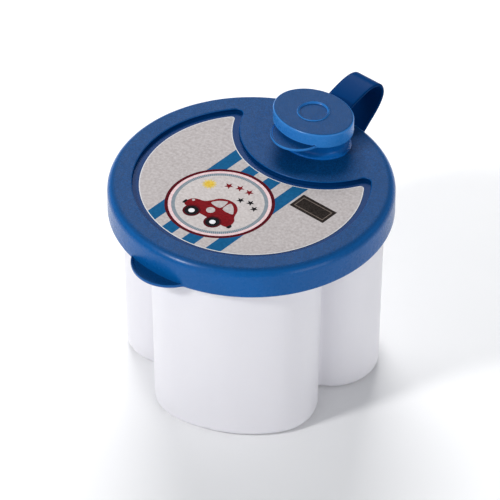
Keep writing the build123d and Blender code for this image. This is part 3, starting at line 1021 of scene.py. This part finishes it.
def label_inks():
    return {
        # painted highlight: a paler ink for the film's edge, standing in for the edge catching the light
        "edge_highlight_ink": print_ink("edge_highlight_ink", (0.60, 0.60, 0.61), (0.68, 0.68, 0.69)),
        "paper_ink": print_ink("paper_ink", (0.36, 0.325, 0.32), (0.505, 0.472, 0.468), spread=0.2),
        "medal_ink": print_ink("medal_ink", (0.43, 0.39, 0.38), (0.57, 0.53, 0.52), spread=0.2),
        "stripe_ink": print_ink("stripe_ink", (0.003, 0.075, 0.188), (0.006, 0.098, 0.235)),
        "maroon_ink": print_ink("maroon_ink", (0.055, 0.001, 0.004), (0.092, 0.002, 0.008)),
        "rose_ink": print_ink("rose_ink", (0.62, 0.44, 0.45), (0.76, 0.58, 0.59)),
        "stitch_ink": stitched_ink("stitch_ink", (MEDAL[0] * MM, MEDAL[1] * MM), 150),
        "car_ink": print_ink("car_ink", (0.13, 0.003, 0.006), (0.20, 0.006, 0.010)),
        "black_ink": print_ink("black_ink", (0.003, 0.003, 0.004), (0.009, 0.009, 0.012)),
        "hub_ink": print_ink("hub_ink", (0.66, 0.66, 0.68), (0.8, 0.8, 0.82)),
        "sun_ink": print_ink("sun_ink", (0.50, 0.38, 0.12), (0.66, 0.52, 0.20)),
        "sun_core_ink": print_ink("sun_core_ink", (0.55, 0.36, 0.04), (0.68, 0.47, 0.07)),
        "badge_ink": print_ink("badge_ink", (0.008, 0.006, 0.005), (0.030, 0.023, 0.020), 1500),
        "badge_line_ink": print_ink("badge_line_ink", (0.12, 0.095, 0.08), (0.17, 0.135, 0.115), 1500)}


def build_label():
    """Thin printed film: every printed shape is its own patch of the flat mesh."""
    shell = Shell()
    outline = crescent(LABEL_R, PLATEAU_R + LABEL_GAP, HORN_R / 2)
    low, high = LABEL_LOW.z, LABEL_TOP_Z
    edge = 0.06
    profile = [(-edge, low), (0, low + edge), (0, high - edge), (-edge, high), (-LABEL_EDGE_STRIP, high)]
    rings = shell.rings(outline, profile)
    # slot 0, the paler ink, goes on the film's edge and a thin strip of its top: a painted highlight
    shell.sweep(rings)
    shell.fill([rings[0]], up=False, spacing=6.0)
    inks = label_inks()
    names = list(inks)
    art = label_art()
    shapes = []
    for ink, line in art:
        line = np.array(line)
        shapes.append((names.index(ink), line, np.roll(line, -1, axis=0)))

    def ink_at(centres):
        slots = np.full(len(centres), names.index("paper_ink"))
        for slot, starts, ends in reversed(shapes):
            slots[inside(centres, starts, ends)] = slot
        return [int(slot) for slot in slots]

    lines = [distinct(line) for ink, line in art]
    shell.fill([rings[-1]], spacing=3.0, extra=lines, classify=ink_at)
    return shell.piece("label_film", list(inks.values()), weighted=False)


def distinct(line):
    """Closed line without points that nearly repeat."""
    kept = [line[0]]
    for point in line[1:]:
        if np.hypot(point[0] - kept[-1][0], point[1] - kept[-1][1]) > 1e-3:
            kept.append(point)
    return kept


# ---------------------------------------------------------------- build
blue_grained = blue_plastic("blue_pp_grained", True)
# cap: the band's blue is painted lighter (painted light); the cap's top keeps the grained top blue
blue_cap_lit = blue_plastic("blue_pp_cap_lit", True, BLUE_CAP_LIT, 0.26)
# spout: a lit copy of the blue, painted light
blue_neck_lit = blue_plastic("blue_pp_neck_lit", False, BLUE_NECK_LIT, 0.16)
# strap: a shaded copy of the blue, painted shade
blue_strap_shaded = blue_plastic("blue_pp_strap_shaded", False, BLUE_STRAP_SHADED, 0.01)
# recess: a shaded copy of the blue, painted shade
blue_recess_shaded = blue_plastic("blue_pp_recess_shaded", False, BLUE_RECESS_SHADED, 0.02)

cup = build_cup()
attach(cup, "cup")
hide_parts("container")

seal = build_seal()
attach(seal, "seal")
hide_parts("rim_seal")

lid = build_lid(blue_grained, blue_recess_shaded, blue_neck_lit)
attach(lid, "lid")
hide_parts("lid")

label = build_label()
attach(label, "lid")
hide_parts("lid_label")

cap = build_cap(blue_cap_lit)
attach(cap, "cap")
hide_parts("cap")

build_strap(blue_strap_shaded)

# ---------------------------------------------------------------- floor, light and camera
CAMERA_AZIMUTH = 41.3
CAMERA_ELEVATION = 39.17
CAMERA_ROLL = -0.2
CAMERA_AIM = Vector((0.0066, -0.0082, 0.0597))
CAMERA_DISTANCE = 1.609
CAMERA_LENS = 308.5
LIGHT_AIM = Vector((0, 0, 0.06))


def toward_camera(azimuth, elevation):
    """Direction from the object to a viewer at that azimuth and elevation."""
    a, e = radians(azimuth), radians(elevation)
    return Vector((sin(a) * cos(e), -cos(a) * cos(e), sin(e)))


def build_floor():
    shell = Shell()
    angles = np.arange(0, 360, 5.0)
    rings = shell.rings(circle(0.0, angles), [(30.0, 0.0), (200.0, 0.0), (1200.0, 0.0), (3000.0, 0.0)])
    shell.sweep(rings[::-1])
    shell.fill([rings[0]], spacing=None)
    mat = material("floor_paper", Specular_IOR_Level=0.1)
    tone = noise(mat, 12, 2.0)
    wire(mat, "Base Color", ramp(mat, tone, [(0.3, (0.94, 0.94, 0.945)), (0.7, (0.96, 0.96, 0.965))]))
    wire(mat, "Roughness", span(mat, noise(mat, 800), 0.3, 0.7, 0.8, 0.9))
    floor = shell.piece("floor", [mat], weighted=False)


def area_light(name, azimuth, elevation, distance, size, power):
    """Square soft light that looks at the object from a direction given like a camera's."""
    data = bpy.data.lights.new(name, "AREA")
    data.size = size
    data.energy = power
    light = bpy.data.objects.new(name, data)
    bpy.context.scene.collection.objects.link(light)
    back = toward_camera(azimuth, elevation)
    light.location = LIGHT_AIM + distance * back
    light.rotation_mode = "QUATERNION"
    light.rotation_quaternion = (-back).to_track_quat("-Z", "Y")


build_floor()
area_light("key_left", CAMERA_AZIMUTH - 58, 38, 0.9, 0.12, 3.6)
area_light("low_left", CAMERA_AZIMUTH - 30, 10, 1.0, 0.5, 0.7)
area_light("low_right", CAMERA_AZIMUTH + 42, 8, 1.0, 0.5, 2.4)
area_light("back_top", CAMERA_AZIMUTH + 184, 43, 1.1, 0.6, 10.9)

world = bpy.data.worlds.new("studio")
bpy.context.scene.world = world
world.use_nodes = True
world.node_tree.nodes["Background"].inputs["Color"].default_value = (0.93, 0.96, 1.0, 1)
world.node_tree.nodes["Background"].inputs["Strength"].default_value = 0.31

camera_data = bpy.data.cameras.new("camera")
camera_data.lens = CAMERA_LENS
camera_data.sensor_width = 36.0
camera_data.clip_start = 0.05
camera_data.clip_end = 20.0
camera = bpy.data.objects.new("camera", camera_data)
bpy.context.scene.collection.objects.link(camera)
view_back = toward_camera(CAMERA_AZIMUTH, CAMERA_ELEVATION)
camera.location = CAMERA_AIM + CAMERA_DISTANCE * view_back
camera.rotation_mode = "QUATERNION"
level = (-view_back).to_track_quat("-Z", "Y").to_matrix()
camera.rotation_quaternion = (level @ Matrix.Rotation(radians(-CAMERA_ROLL), 3, "Z")).to_quaternion()
bpy.context.scene.camera = camera
bpy.context.scene.view_settings.view_transform = "Standard"
